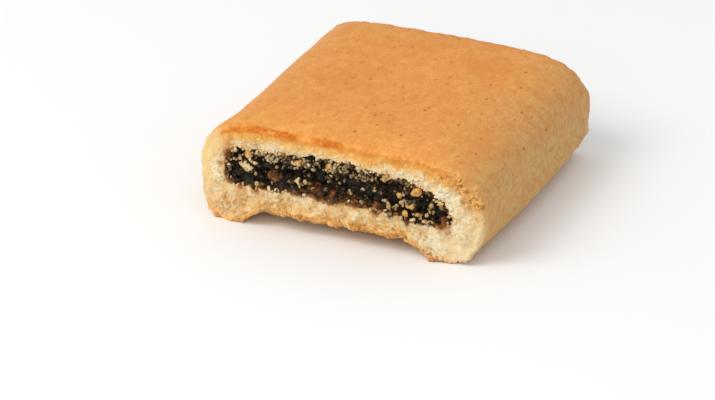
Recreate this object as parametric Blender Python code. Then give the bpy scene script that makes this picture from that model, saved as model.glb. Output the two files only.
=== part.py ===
"""Fig roll: a bar of baked pastry round a ribbon of fig paste that runs right through it, cut at both ends.

Metres, +Z up. The width lies along X and the length along Y. The cut end that the photograph shows is at -Y.
The roll rests on its flat base at z = 0, with the origin in the middle of that base.
"""

import math
import random

import bmesh
import bpy
import numpy as np
from mathutils import Vector, noise

MM = 0.001

# The roll as a whole
LENGTH = 42 * MM
WIDTH = 39.3 * MM
HEIGHT = 13.9 * MM
WIDEST_AT = 7.5 * MM

# How square the section is: 2 is an ellipse and higher numbers come nearer a rectangle
LEFT_SHOULDER = 7.5
RIGHT_SHOULDER = 4.2
SIDES_BELOW = 10.0
CROWN = 2.0
BELLY = 2.2
FLAT_BELOW = 0.12 * MM

# The sides aren't straight. Above the feet the left one is drawn in behind the front cut, less so towards the
# back, and the right one towards the back. Low down the right one swells half-way along
LEFT_WAIST = 1.25 * MM
LEFT_FLARE = 8 * MM
RIGHT_TAPER = 0.9 * MM
RIGHT_SWELL = 0.4 * MM
DRAWN_FROM = (2 * MM, 6 * MM)

# The cut ends, where the blade pressed the top down and drew the base up into an arch between two feet
FRONT, BACK = -1, 1
END_PRESS = 0.5 * MM
PRESS_REACH = 7 * MM
ARCH_HEIGHT = {FRONT: 2.3 * MM, BACK: 1.5 * MM}
ARCH_REACH = 9 * MM
ARCH_DEPTH = 3 * MM
LEFT_FOOT = (-13.2 * MM, -10.8 * MM)
RIGHT_FOOT = (8.4 * MM, 13.4 * MM)
CORNER_SETBACK = 0.9 * MM
TOP_SETBACK = 0.6 * MM
RIM_ROUND_TOP = 0.8 * MM
RIM_ROUND_BASE = 0.3 * MM

# Unevenness of the crust, the crumb and the broken rim: height and width of the lumps
CRUST_WAVE = (0.16 * MM, 9 * MM)
CRUMB_SWELL = (0.45 * MM, 6 * MM)
CRUMB_GRAIN = (0.38 * MM, 1.7 * MM)
PASTE_SWELL = (0.5 * MM, 5 * MM)
PASTE_GRAIN = (0.5 * MM, 1.6 * MM)
CRAG = (0.42 * MM, 1.5 * MM)
CRAG_REACH = 5 * MM
CRAG_AT_TOP = 0.45

# The share of the way from the rim to the paste over which the crumb gains its relief and leaves the rim
RELIEF_GROWS = 0.33
RIM_BLENDS = 0.4

# The ribbon of paste: its values at the front cut and at the back cut. The bend is its droop per square metre
RIBBON_HALF_WIDTH = (15.7 * MM, 15.4 * MM)
RIBBON_HALF_DEPTH = (2.85 * MM, 2.6 * MM)
RIBBON_SHIFT = (-0.45 * MM, 0.3 * MM)
RIBBON_MID_HEIGHT = (8.55 * MM, 8.3 * MM)
RIBBON_BEND = (7.5, 4.0)
RIBBON_CREST_AT = -2 * MM
RIBBON_BLUNTNESS = 6.0
RIBBON_LUMPS = 0.07
RIBBON_LUMP_TURN = 0.35
RIBBON_LUMP_DRIFT = 0.3
PASTE_CLEARANCE = 0.3 * MM

# Seeds bedded in the paste where it is cut
SEEDS_PER_END = 34
SEED_RADIUS = (0.42 * MM, 0.66 * MM)
SEED_SPACING = 1.35 * MM
SEED_SUNK = 0.25
SEED_EDGE = 0.95 * MM
SEED_DRAW = 7

# Where each random pattern starts
CRUST_PATTERN = 2.0
RIBBON_PATTERN = 5.0
CUT_PATTERN = {FRONT: 14.0, BACK: 26.0}
RIM_PATTERN = Vector((11.3, 4.1, 7.9))

# How finely the surfaces are divided
SECTION_STEPS = 2880
SKIN_POINTS = 112
SKIN_STEPS = [1.7 * MM, 3.2 * MM, 5.2 * MM, 8 * MM, 11.5 * MM, 16 * MM]
RIM_TURNS = [0, 45, 90]
CUT_ROWS = 7
CHANNEL_ROWS = 4
PASTE_POINTS = 76
PASTE_RINGS = [0.0, 0.27, 0.52, 0.76]
CREASE = math.radians(50)


def clear_scene():
    for obj in list(bpy.data.objects):
        bpy.data.objects.remove(obj)


def mix(low, high, share):
    return low + (high - low) * share


def smooth(value):
    value = min(1.0, max(0.0, value))
    return value * value * (3 - 2 * value)


def fade(distance, reach):
    """1 at the cut, easing to 0 at reach."""
    return max(0.0, 1 - distance / reach) ** 2


def lump(place, size, pattern):
    """A smooth random value from -1 to 1, one lump about every size metres."""
    return noise.noise(Vector(place) / size + Vector((pattern, 3.7 * pattern, -pattern)))


def even_points(outline, count):
    """count points spaced evenly along a closed outline of many points, from its first point."""
    closed = np.vstack([outline, outline[:1]])
    along = np.concatenate([[0], np.cumsum(np.linalg.norm(np.diff(closed, axis=0), axis=1))])
    wanted = np.linspace(0, along[-1], count, endpoint=False)
    return np.stack([np.interp(wanted, along, closed[:, axis]) for axis in (0, 1)], axis=1)


def turns_from_bottom():
    """Angles once round, anticlockwise from the bottom middle as seen from the front."""
    return [2 * math.pi * step / SECTION_STEPS - math.pi / 2 for step in range(SECTION_STEPS)]


def oval(half_width, half_depth, square_x, square_z, turn):
    """A point of a squared-off oval, as (x, z) from its centre."""
    across, up = math.cos(turn), math.sin(turn)
    x = math.copysign(abs(across) ** (2 / square_x), across)
    z = math.copysign(abs(up) ** (2 / square_z), up)
    return half_width * x, half_depth * z


def section_outline(count):
    """The roll's section half-way along: slanting sides, a tight left shoulder and a looser right one."""
    outline = []
    for turn in turns_from_bottom():
        if math.sin(turn) < 0:
            x, z = oval(WIDTH / 2, WIDEST_AT, SIDES_BELOW, BELLY, turn)
        else:
            shoulder = RIGHT_SHOULDER if math.cos(turn) > 0 else LEFT_SHOULDER
            x, z = oval(WIDTH / 2, HEIGHT - WIDEST_AT, shoulder, CROWN, turn)
        z += WIDEST_AT
        outline.append((x, 0.0 if z < FLAT_BELOW else z))
    return even_points(np.array(outline), count)


def outward(outline):
    """The outward direction in the section at each point of an anticlockwise outline."""
    along = np.roll(outline, -1, axis=0) - np.roll(outline, 1, axis=0)
    normal = np.stack([along[:, 1], -along[:, 0]], axis=1)
    return normal / np.linalg.norm(normal, axis=1, keepdims=True)


def between_feet(x):
    """1 under the arch, easing to 0 at the two feet."""
    left = (x - LEFT_FOOT[0]) / (LEFT_FOOT[1] - LEFT_FOOT[0])
    right = (RIGHT_FOOT[1] - x) / (RIGHT_FOOT[1] - RIGHT_FOOT[0])
    return smooth(left) * smooth(right)


def pressed(x, z, end, distance):
    """The section point as the blade left it, at a distance from the cut."""
    z *= 1 - END_PRESS / HEIGHT * fade(distance, PRESS_REACH)
    under = max(0.0, 1 - z / ARCH_DEPTH)
    return x, z + ARCH_HEIGHT[end] * fade(distance, ARCH_REACH) * between_feet(x) * under


def uneven_sides(x, z, y):
    """x with the sides drawn in and swelled as they are at height z and distance y along."""
    along = y / (LENGTH / 2)
    height = smooth((z - DRAWN_FROM[0]) / (DRAWN_FROM[1] - DRAWN_FROM[0]))
    if x < 0:
        move = height * LEFT_WAIST * smooth((y + LENGTH / 2) / LEFT_FLARE) * (1 - along) / 2
    else:
        move = (1 - height) * RIGHT_SWELL * (1 - along**2) - height * RIGHT_TAPER * smooth((along + 1) / 2)
    return x + move * (x / (WIDTH / 2)) ** 2


def reach_of_cut(x, z):
    """How far from the middle of the roll the cut lies: less at the sides and the top, which hang back."""
    return LENGTH / 2 - CORNER_SETBACK * (abs(x) / (WIDTH / 2)) ** 5 - TOP_SETBACK * (z / HEIGHT) ** 3


def crag(point, distance):
    """The point moved about as the broken rim is, less and less away from the cut. The base stays level."""
    height, size = CRAG
    strength = height * fade(distance, CRAG_REACH) * mix(1.0, CRAG_AT_TOP, smooth(point.z / HEIGHT))
    moved = point + noise.noise_vector(point / size + RIM_PATTERN) * strength
    return Vector((moved.x, moved.y, max(0.0, moved.z)))


def crust_point(x, z, normal, end, distance, inset=0.0):
    """A point of the crust at a distance from the cut, from its place in the section, drawn in by inset."""
    share = 1 - distance / (LENGTH / 2)
    out = -inset
    if z > FLAT_BELOW:
        out += CRUST_WAVE[0] * lump((x, end * share * LENGTH / 2, z), CRUST_WAVE[1], CRUST_PATTERN)
    x, z = pressed(x, z, end, distance)
    x += out * normal[0]
    z += out * normal[1]
    y = end * share * reach_of_cut(x, z)
    return crag(Vector((uneven_sides(x, z, y), y, z)), distance)


def rim_point(x, z, normal, end, turn):
    """A point of the rounded rim. turn goes from 0 degrees on the cut to 90 on the side of the roll."""
    radius = mix(RIM_ROUND_BASE, RIM_ROUND_TOP, smooth(z / HEIGHT))
    distance = radius * (1 - math.cos(math.radians(turn)))
    inset = radius * (1 - math.sin(math.radians(turn)))
    return crust_point(x, z, normal, end, distance, inset)


def along_ribbon(ends, side):
    """A value of the ribbon at side -1, the front cut, to 1, the back cut."""
    return mix(*ends, (side + 1) / 2)


def ribbon_place(x, z, side):
    """A point given from the ribbon's own middle line, which droops towards the sides of the roll."""
    droop = along_ribbon(RIBBON_BEND, side) * (x - RIBBON_CREST_AT) ** 2
    return x + along_ribbon(RIBBON_SHIFT, side), z + along_ribbon(RIBBON_MID_HEIGHT, side) - droop


def ribbon_ring(side, count, clearance):
    """The ribbon's outline at side -1, the front cut, to 1, the back cut, drawn in by clearance."""
    half_width = along_ribbon(RIBBON_HALF_WIDTH, side) - clearance
    half_depth = along_ribbon(RIBBON_HALF_DEPTH, side) - clearance
    outline = []
    for turn in turns_from_bottom():
        x, z = oval(half_width, half_depth, RIBBON_BLUNTNESS, 2.0, turn)
        place = (math.cos(turn), math.sin(turn), RIBBON_LUMP_DRIFT * side)
        z *= 1 + RIBBON_LUMPS * lump(place, RIBBON_LUMP_TURN, RIBBON_PATTERN)
        outline.append((x, z))
    ring = even_points(np.array(outline), count)
    return [ribbon_place(x, z, side) for x, z in ring]


def channel_rings(count, clearance):
    """The ribbon's outlines between the two cuts, from the front to the back."""
    rings = []
    for row in range(1, CHANNEL_ROWS + 1):
        side = 2 * row / (CHANNEL_ROWS + 1) - 1
        rings.append([Vector((x, side * LENGTH / 2, z)) for x, z in ribbon_ring(side, count, clearance)])
    return rings


def relief(x, z, end, swell, grain):
    """How far a cut surface stands out: broad swells and small lumps."""
    broad = swell[0] * lump((x, 0, z), swell[1], CUT_PATTERN[end])
    small = grain[0] * lump((x, 0, z), grain[1], CUT_PATTERN[end] + 1)
    return broad + small


def crumb_point(rim, inner, share, end):
    """A point of the cut crumb, from the rim at share 0 to the edge of the paste at share 1."""
    x = mix(rim.x, inner[0], share)
    z = mix(rim.z, inner[1], share)
    bumps = smooth(share / RELIEF_GROWS) * relief(x, z, end, CRUMB_SWELL, CRUMB_GRAIN)
    return Vector((x, mix(rim.y, end * (reach_of_cut(x, z) + bumps), smooth(share / RIM_BLENDS)), z))


def pastry_rows():
    """Closed rows of points that go over the crust from front to back, and home through the channel."""
    outline = section_outline(SKIN_POINTS)
    section = [(x, z, normal) for (x, z), normal in zip(outline, outward(outline))]

    def crust_rows(end):
        rim = [[rim_point(*place, end, turn) for place in section] for turn in RIM_TURNS]
        return rim + [[crust_point(*place, end, distance) for place in section] for distance in SKIN_STEPS]

    def crumb_rows(end, rim):
        inner = ribbon_ring(end, SKIN_POINTS, 0.0)
        shares = [row / CUT_ROWS for row in range(1, CUT_ROWS + 1)]
        return [[crumb_point(r, i, share, end) for r, i in zip(rim, inner)] for share in shares]

    front, back = crust_rows(FRONT), crust_rows(BACK)
    middle = [[crust_point(*place, BACK, LENGTH / 2) for place in section]]
    channel = channel_rings(SKIN_POINTS, 0.0)
    front_crumb, back_crumb = crumb_rows(FRONT, front[0]), crumb_rows(BACK, back[0])
    return front + middle + back[::-1] + back_crumb + channel[::-1] + front_crumb[::-1]


def paste_reach(x, z, end):
    return reach_of_cut(x, z) + relief(x, z, end, PASTE_SWELL, PASTE_GRAIN)


def paste_point(x, z, end, share):
    """A point of the cut paste, from its outline at share 0 to its middle line at share 1."""
    straight = along_ribbon(RIBBON_HALF_WIDTH, end) - along_ribbon(RIBBON_HALF_DEPTH, end)
    own_x = x - along_ribbon(RIBBON_SHIFT, end)
    middle_x, middle_z = ribbon_place(min(straight, max(-straight, own_x)), 0.0, end)
    x, z = mix(x, middle_x, share), mix(z, middle_z, share)
    return Vector((x, end * paste_reach(x, z, end), z))


def paste_rows():
    """Rows of points from the middle of the front cut, along the ribbon, to the middle of the back cut."""

    def cut_rings(end):
        ring = ribbon_ring(end, PASTE_POINTS, PASTE_CLEARANCE)
        return [[paste_point(x, z, end, share) for x, z in ring] for share in PASTE_RINGS]

    return cut_rings(FRONT)[::-1] + channel_rings(PASTE_POINTS, PASTE_CLEARANCE) + cut_rings(BACK)


def join_rows(mesh, row, following):
    """Quads from each side of one closed row to the same side of the next."""
    for here in range(len(row)):
        mesh.faces.new((row[here - 1], row[here], following[here], following[here - 1]))


def zip_up(mesh, row):
    """Closes a long thin row, which starts from the bottom middle, by faces from its lower to its upper points."""
    half = len(row) // 2
    quarter = half // 2
    for step in range(-quarter, quarter):
        corners = [row[step], row[step + 1], row[half - step - 1], row[(half - step) % len(row)]]
        mesh.faces.new(list(dict.fromkeys(corners)))


def material(name, colour, roughness):
    made = bpy.data.materials.new(name)
    made.use_nodes = True
    shader = made.node_tree.nodes["Principled BSDF"]
    shader.inputs["Base Color"].default_value = (*colour, 1)
    shader.inputs["Roughness"].default_value = roughness
    shader.inputs["Metallic"].default_value = 0
    return made


def solid(name, rows, returns, look):
    """An object with each row joined to the next. The last returns to the first, or both end rows are closed."""
    mesh = bmesh.new()
    laid = [[mesh.verts.new(point) for point in row] for row in rows]
    for row, following in zip(laid, laid[1:]):
        join_rows(mesh, row, following)
    if returns:
        join_rows(mesh, laid[-1], laid[0])
    else:
        zip_up(mesh, laid[0])
        zip_up(mesh, laid[-1])
    bmesh.ops.recalc_face_normals(mesh, faces=mesh.faces)
    data = bpy.data.meshes.new(name)
    mesh.to_mesh(data)
    mesh.free()
    data.shade_smooth()
    data.set_sharp_from_angle(angle=CREASE)
    data.materials.append(look)
    obj = bpy.data.objects.new(name, data)
    bpy.context.scene.collection.objects.link(obj)
    return obj


def seed_places(end, draw):
    """Places of the seeds on one cut, kept apart and inside the paste, with their radii."""
    half_width = along_ribbon(RIBBON_HALF_WIDTH, end) - SEED_EDGE
    half_depth = along_ribbon(RIBBON_HALF_DEPTH, end) - SEED_EDGE
    places = []
    while len(places) < SEEDS_PER_END:
        across = draw.uniform(-1, 1)
        depth = half_depth * (1 - abs(across) ** RIBBON_BLUNTNESS) ** 0.5
        x, z = ribbon_place(across * half_width, draw.uniform(-depth, depth), end)
        if all(math.hypot(x - other_x, z - other_z) > SEED_SPACING for other_x, other_z, _ in places):
            places.append((x, z, draw.uniform(*SEED_RADIUS)))
    return places


def add_seeds(paste):
    """Beds the seeds in both cuts of the paste and joins them to it as one solid."""
    draw = random.Random(SEED_DRAW)
    group = bpy.data.collections.new("seeds")
    bpy.context.scene.collection.children.link(group)
    for end in (FRONT, BACK):
        for x, z, radius in seed_places(end, draw):
            reach = paste_reach(x, z, end) - SEED_SUNK * radius
            bpy.ops.mesh.primitive_ico_sphere_add(subdivisions=1, radius=radius, location=(x, end * reach, z))
            seed = bpy.context.object
            seed.rotation_euler = [draw.uniform(0, math.pi) for _ in range(3)]
            for holder in seed.users_collection:
                holder.objects.unlink(seed)
            group.objects.link(seed)
    join = paste.modifiers.new("bedded seeds", "BOOLEAN")
    join.operand_type = "COLLECTION"
    join.collection = group
    join.operation = "UNION"
    join.solver = "EXACT"
    bpy.context.view_layer.objects.active = paste
    bpy.ops.object.modifier_apply(modifier=join.name)
    for seed in list(group.objects):
        bpy.data.objects.remove(seed)
    bpy.data.collections.remove(group)


def stand_on_origin(parts):
    """Groups the parts under one empty, and moves it so that the middle of the base is at the origin."""
    group = bpy.data.objects.new("fig_roll", None)
    bpy.context.scene.collection.objects.link(group)
    corners = np.array([vertex.co for part in parts for vertex in part.data.vertices])
    low, high = corners.min(axis=0), corners.max(axis=0)
    group.location = (-(low[0] + high[0]) / 2, -(low[1] + high[1]) / 2, -low[2])
    for part in parts:
        part.parent = group


def main():
    clear_scene()
    baked = material("baked pastry", (0.72, 0.42, 0.17), 0.6)
    fig = material("fig paste", (0.05, 0.028, 0.018), 0.35)
    pastry = solid("pastry", pastry_rows(), True, baked)
    paste = solid("fig_paste", paste_rows(), False, fig)
    add_seeds(paste)
    stand_on_origin([pastry, paste])


main()
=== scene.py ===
"""Fig roll: the baked bar, its crumb and its seedy fig paste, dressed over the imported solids.

Metres, +Z up. The width lies along X and the length along Y, with the photographed cut end at -Y.
"""

import math
import random

import bpy
import numpy as np
from mathutils import Matrix, Quaternion, Vector, noise
from mathutils.bvhtree import BVHTree


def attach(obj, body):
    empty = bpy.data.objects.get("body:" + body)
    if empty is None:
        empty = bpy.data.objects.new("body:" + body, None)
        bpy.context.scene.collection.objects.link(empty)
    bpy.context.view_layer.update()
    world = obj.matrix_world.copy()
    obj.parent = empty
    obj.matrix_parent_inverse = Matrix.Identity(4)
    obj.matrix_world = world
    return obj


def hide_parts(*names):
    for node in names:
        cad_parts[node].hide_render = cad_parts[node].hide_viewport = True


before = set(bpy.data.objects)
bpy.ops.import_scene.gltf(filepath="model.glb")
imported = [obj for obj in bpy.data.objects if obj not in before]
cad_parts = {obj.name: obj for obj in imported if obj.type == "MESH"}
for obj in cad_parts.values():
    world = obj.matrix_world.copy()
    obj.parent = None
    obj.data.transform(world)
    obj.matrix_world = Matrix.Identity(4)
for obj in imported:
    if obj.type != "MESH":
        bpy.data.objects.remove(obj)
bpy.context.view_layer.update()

MM = 0.001

# The bar: sizes, and how square its section is, from 2 for an ellipse upwards
LENGTH = 42 * MM
WIDTH = 39.3 * MM
HEIGHT = 13.9 * MM
WIDEST_AT = 7.5 * MM
LEFT_SHOULDER = 7.5
RIGHT_SHOULDER = 4.2
SIDES_BELOW = {-1: 20.0, 1: 10.0}
CROWN = 2.0
BELLY = {-1: 5.0, 1: 2.2}
FLAT_BELOW = 0.12 * MM
CENTRED = np.array((0.028, 0.093, 0.0)) * MM

# The sides: drawn in above the feet, and swelled low down on the right
LEFT_WAIST = 1.25 * MM
LEFT_FLARE = 8 * MM
LEFT_TAPER = 0.9 * MM
LEFT_TAPER_BELOW = 7 * MM
RIGHT_TAPER = 0.9 * MM
RIGHT_SWELL = 0.9 * MM
RIGHT_TAPER_AT_FOOT = 0.55
DRAWN_FROM = (2 * MM, 6 * MM)

# The cut ends: pressed down by the blade, with an arch between two feet
FRONT, BACK = -1, 1
END_PRESS = 0.5 * MM
PRESS_REACH = 7 * MM
ARCH_HEIGHT = {FRONT: 2.3 * MM, BACK: 1.5 * MM}
ARCH_REACH = 9 * MM
ARCH_DEPTH = 3 * MM
LEFT_FOOT = (-14.4 * MM, -10.6 * MM)
RIGHT_FOOT = (8.4 * MM, 13.4 * MM)
CORNER_SETBACK = 0.9 * MM
BACK_FOOT_SETBACK = 1.3 * MM
BACK_FOOT_BELOW = 4.5 * MM
BACK_FOOT_FROM = (9 * MM, 17 * MM)
TOP_SETBACK = 0.6 * MM
RIM_ROUND_TOP = 0.65 * MM
RIM_ROUND_BASE = 0.3 * MM

# Unevenness that the solids have too: height and width of the lumps
CRUST_WAVE = (0.16 * MM, 9 * MM)
CRUMB_SWELL = (0.45 * MM, 6 * MM)
CRUMB_GRAIN = (0.38 * MM, 1.7 * MM)
PASTE_SWELL = (0.5 * MM, 5 * MM)
PASTE_GRAIN = (0.5 * MM, 1.6 * MM)
CRAG = (0.42 * MM, 1.5 * MM)
CRAG_REACH = 5 * MM
CRAG_AT_TOP = 0.35
CRAG_FADES_BY = 7 * MM
CRUST_PATTERN = 2.0
RIBBON_PATTERN = 5.0
CUT_PATTERN = {FRONT: 14.0, BACK: 26.0}
RIM_PATTERN = Vector((11.3, 4.1, 7.9))
BITE_PATTERN = 31.0
TOAST_PATTERN = 41.0
SOAK_PATTERN = 44.0
TOASTED_GRAIN_PATTERN = 51.0
GRIT_PATTERN = 62.0
LUMP_CELLS, GRAIN_CELLS, GRIT_CELLS = 71, 72, 73
CELL_TABLE = 128
NOISE_SEED = 5
noise.seed_set(NOISE_SEED)

# The ribbon of paste at the front cut and at the back cut
RIBBON_HALF_WIDTH = (15.15 * MM, 15.2 * MM)
RIBBON_HALF_DEPTH = (2.43 * MM, 2.4 * MM)
RIBBON_SHIFT = (-0.2 * MM, 0.3 * MM)
RIBBON_MID_HEIGHT = (8.28 * MM, 8.2 * MM)
RIBBON_BEND = (10.0, 4.0)
RIBBON_LEFT_BEND = (0.22, 1.0)
RIBBON_CREST_AT = 1 * MM
RIBBON_BLUNTNESS = 6.0
RIBBON_SQUARENESS = (8.0, 2.1)
RIBBON_LUMPS = 0.07
RIBBON_LUMP_TURN = 0.35
RIBBON_LUMP_DRIFT = 0.3

# How finely the pieces are divided
SECTION_STEPS = 2880
SKIN_POINTS = 760
CRUMB_ROWS = 32
RIM_STEPS = 7
CRUST_ROWS = 20
CRUST_FROM = 1.0 * MM
CRUST_SPREAD = 1.6
CHANNEL_ROWS = 4
PASTE_COLUMNS = 280
PASTE_LAYERS = 54
WEIGHT_STEPS = 40
PASTE_OVERLAP = 0.15 * MM

# Distances: farther than any border reaches, of points to join, and of the cuts from the middle of the bar
FAR = 9 * MM
SEAM = 0.002 * MM
AT_CUT = 19 * MM
NEAR_CUT = 17 * MM
BEFORE_CUT = 40 * MM

# The relief of crumb and grit, in mm: width of the lumps and grains, how they stand out, how unevenly
LUMPS = (1.25, 0.05, 0.22)
GRAINS = (0.5, 0.12, 0.26)
GRIT = (0.48, 0.05, 0.22)


def mix(low, high, share):
    return low + (high - low) * share


def smooth(value):
    value = np.clip(value, 0.0, 1.0)
    return value * value * (3 - 2 * value)


def fade(distance, reach):
    return max(0.0, 1 - distance / reach) ** 2


def lumps(points, size, pattern):
    """A smooth random value from -1 to 1 at each point, one lump about every size metres."""
    start = Vector((pattern, 3.7 * pattern, -pattern))
    return np.array([noise.noise(Vector(point) / size + start) for point in points])


def shaken(points, size, start):
    """A smooth random vector at each point."""
    return np.array([noise.noise_vector(Vector(point) / size + start) for point in points])


def random_cells(places, spacing, seed):
    """Irregular cells: how far inside its cell each place lies, from 0 to 1, and the value of the cell."""
    table = np.random.default_rng(seed).random((CELL_TABLE, CELL_TABLE, 3))
    column, row = np.floor(places / spacing).astype(int).T
    nearest, second, value = [np.full(len(places), start) for start in (9.0, 9.0, 0.0)]
    for right in (-1, 0, 1):
        for up in (-1, 0, 1):
            own = table[(column + right) % CELL_TABLE, (row + up) % CELL_TABLE]
            middle = np.stack([column + right, row + up], axis=1) + own[:, :2]
            distance = np.linalg.norm(places / spacing - middle, axis=1)
            closer = distance < nearest
            second = np.where(closer, nearest, np.minimum(second, distance))
            value = np.where(closer, own[:, 2], value)
            nearest = np.where(closer, distance, nearest)
    return np.clip(second - nearest, 0, 1), value


def with_y(places, y):
    """Section places (x, z) as points (x, y, z)."""
    return np.column_stack([places[:, 0], np.broadcast_to(y, len(places)), places[:, 1]])


def even_points(outline):
    closed = np.vstack([outline, outline[:1]])
    along = np.concatenate([[0], np.cumsum(np.linalg.norm(np.diff(closed, axis=0), axis=1))])
    wanted = np.linspace(0, along[-1], SKIN_POINTS, endpoint=False)
    return np.stack([np.interp(wanted, along, closed[:, axis]) for axis in (0, 1)], axis=1)


def turns_from_bottom():
    return np.arange(SECTION_STEPS) * 2 * math.pi / SECTION_STEPS - math.pi / 2


def oval(half_width, half_depth, square_x, square_z, turn):
    """Points of a squared-off oval, as (x, z) from its centre."""
    across, up = np.cos(turn), np.sin(turn)
    x = np.copysign(np.abs(across) ** (2 / square_x), across)
    z = np.copysign(np.abs(up) ** (2 / square_z), up)
    return np.stack([half_width * x, half_depth * z], axis=1)


def section_outline():
    turn = turns_from_bottom()
    left, right = [
        np.where(
            (np.sin(turn) < 0)[:, None],
            oval(WIDTH / 2, WIDEST_AT, SIDES_BELOW[side], BELLY[side], turn),
            oval(WIDTH / 2, HEIGHT - WIDEST_AT, shoulder, CROWN, turn),
        )
        for side, shoulder in ((-1, LEFT_SHOULDER), (1, RIGHT_SHOULDER))
    ]
    outline = np.where((np.cos(turn) > 0)[:, None], right, left) + (0, WIDEST_AT)
    outline[:, 1][outline[:, 1] < FLAT_BELOW] = 0
    return even_points(outline)


def outward(outline):
    along = np.roll(outline, -1, axis=0) - np.roll(outline, 1, axis=0)
    normal = np.stack([along[:, 1], -along[:, 0]], axis=1)
    return normal / np.linalg.norm(normal, axis=1, keepdims=True)


def between_feet(x):
    left = (x - LEFT_FOOT[0]) / (LEFT_FOOT[1] - LEFT_FOOT[0])
    right = (RIGHT_FOOT[1] - x) / (RIGHT_FOOT[1] - RIGHT_FOOT[0])
    return smooth(left) * smooth(right)


def uneven_sides(x, z, y):
    along = y / (LENGTH / 2)
    height = smooth((z - DRAWN_FROM[0]) / (DRAWN_FROM[1] - DRAWN_FROM[0]))
    left = height * LEFT_WAIST * smooth((y + LENGTH / 2) / LEFT_FLARE) * (1 - along) / 2
    left = left + LEFT_TAPER * np.clip(1 - z / LEFT_TAPER_BELOW, 0, 1)
    right = (1 - height) * RIGHT_SWELL * (1 - along**2)
    right = right - mix(RIGHT_TAPER_AT_FOOT, 1, height) * RIGHT_TAPER * smooth((along + 1) / 2)
    return x + np.where(x < 0, left, right) * (x / (WIDTH / 2)) ** 2


def reach_of_cut(x, z, end):
    """How far from the middle of the bar the cut lies; the right foot of the back cut is drawn in."""
    reach = LENGTH / 2 - CORNER_SETBACK * (np.abs(x) / (WIDTH / 2)) ** 5 - TOP_SETBACK * (z / HEIGHT) ** 3
    if end == FRONT:
        return reach
    start, stop = BACK_FOOT_FROM
    right = smooth((x - start) / (stop - start))
    return reach - BACK_FOOT_SETBACK * smooth(1 - z / BACK_FOOT_BELOW) * right


def crust_row(outline, normal, end, distance, inset=0.0):
    """A row of the crust at a distance from the cut, drawn in from the section by inset."""
    share = 1 - distance / (LENGTH / 2)
    x, z = outline.T
    wave = lumps(with_y(outline, end * share * LENGTH / 2), CRUST_WAVE[1], CRUST_PATTERN)
    out = CRUST_WAVE[0] * wave * (z > FLAT_BELOW) - inset
    z = z * (1 - END_PRESS / HEIGHT * fade(distance, PRESS_REACH))
    under = np.maximum(0.0, 1 - z / ARCH_DEPTH)
    z = z + ARCH_HEIGHT[end] * fade(distance, ARCH_REACH) * between_feet(x) * under + out * normal[:, 1]
    x = x + out * normal[:, 0]
    y = end * share * reach_of_cut(x, z, end)
    row = np.column_stack([uneven_sides(x, z, y), y, z])
    height, size = CRAG
    strength = height * fade(distance, CRAG_REACH) * mix(1.0, CRAG_AT_TOP, smooth(z / CRAG_FADES_BY))
    row += shaken(row, size, RIM_PATTERN) * strength[:, None]
    row[:, 2] = np.maximum(0.0, row[:, 2])
    return row


def rim_row(outline, normal, end, turn):
    """A row of the rounded rim, with turn from 0 on the cut to a quarter turn on the side of the bar."""
    radius = mix(RIM_ROUND_BASE, RIM_ROUND_TOP, smooth(outline[:, 1] / HEIGHT))
    inset = radius * (1 - math.sin(turn))
    near = crust_row(outline, normal, end, 0.0, inset)
    near[:, 1] -= end * radius * (1 - math.cos(turn))
    return near


def along_ribbon(ends, side):
    return mix(*ends, (side + 1) / 2)


def middle_line(x, side):
    """The height of the ribbon's middle line, which droops towards the sides, most on the right."""
    share = np.where(x < RIBBON_CREST_AT, along_ribbon(RIBBON_LEFT_BEND, side), 1)
    bend = along_ribbon(RIBBON_BEND, side) * share
    return along_ribbon(RIBBON_MID_HEIGHT, side) - bend * (x - RIBBON_CREST_AT) ** 2


def ribbon_place(x, z, side):
    """Places given from the ribbon's own middle line."""
    return x + along_ribbon(RIBBON_SHIFT, side), z + middle_line(x, side)


def ribbon_halves(side):
    """The ribbon's half width and half depth."""
    return along_ribbon(RIBBON_HALF_WIDTH, side), along_ribbon(RIBBON_HALF_DEPTH, side)


def ribbon_ring(side, ragged=0.0):
    """The ribbon's outline at side -1, the front cut, to 1, the back cut, made ragged by that much."""
    turn = turns_from_bottom()
    left, right = [oval(*ribbon_halves(side), RIBBON_BLUNTNESS, square, turn) for square in RIBBON_SQUARENESS]
    ring = np.where((np.cos(turn) < 0)[:, None], left, right)
    places = np.stack([np.cos(turn), np.sin(turn), np.full_like(turn, RIBBON_LUMP_DRIFT * side)], axis=1)
    ring[:, 1] *= 1 + RIBBON_LUMPS * lumps(places, RIBBON_LUMP_TURN, RIBBON_PATTERN)
    ring = even_points(ring)
    x, z = ribbon_place(ring[:, 0], ring[:, 1], side)
    places = np.stack([x, z], axis=1)
    if ragged:
        points = with_y(places, side * LENGTH / 2)
        bite = 0.6 * lumps(points, 1.3 * MM, BITE_PATTERN) + 0.4 * lumps(points, 0.5 * MM, BITE_PATTERN + 1)
        places += outward(places) * (ragged * bite)[:, None]
    return places


def relief(places, end, swell, grain):
    points = with_y(places, 0)
    broad = swell[0] * lumps(points, swell[1], CUT_PATTERN[end])
    return broad + grain[0] * lumps(points, grain[1], CUT_PATTERN[end] + 1)


def crumb_row(rim, inner, share, end):
    """A row of the cut crumb, from the rim at share 0 to the edge of the paste at share 1."""
    places = mix(rim[:, [0, 2]], inner, share)
    bumps = smooth(share / 0.33) * relief(places, end, CRUMB_SWELL, CRUMB_GRAIN)
    cut = end * (reach_of_cut(*places.T, end) + bumps)
    return with_y(places, mix(rim[:, 1], cut, smooth(share / 0.4)))


def distance_to(ring, places):
    """How far each place lies from the nearest point of a ring."""
    return np.min(np.linalg.norm(places[:, None] - ring[None], axis=2), axis=1)


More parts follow.
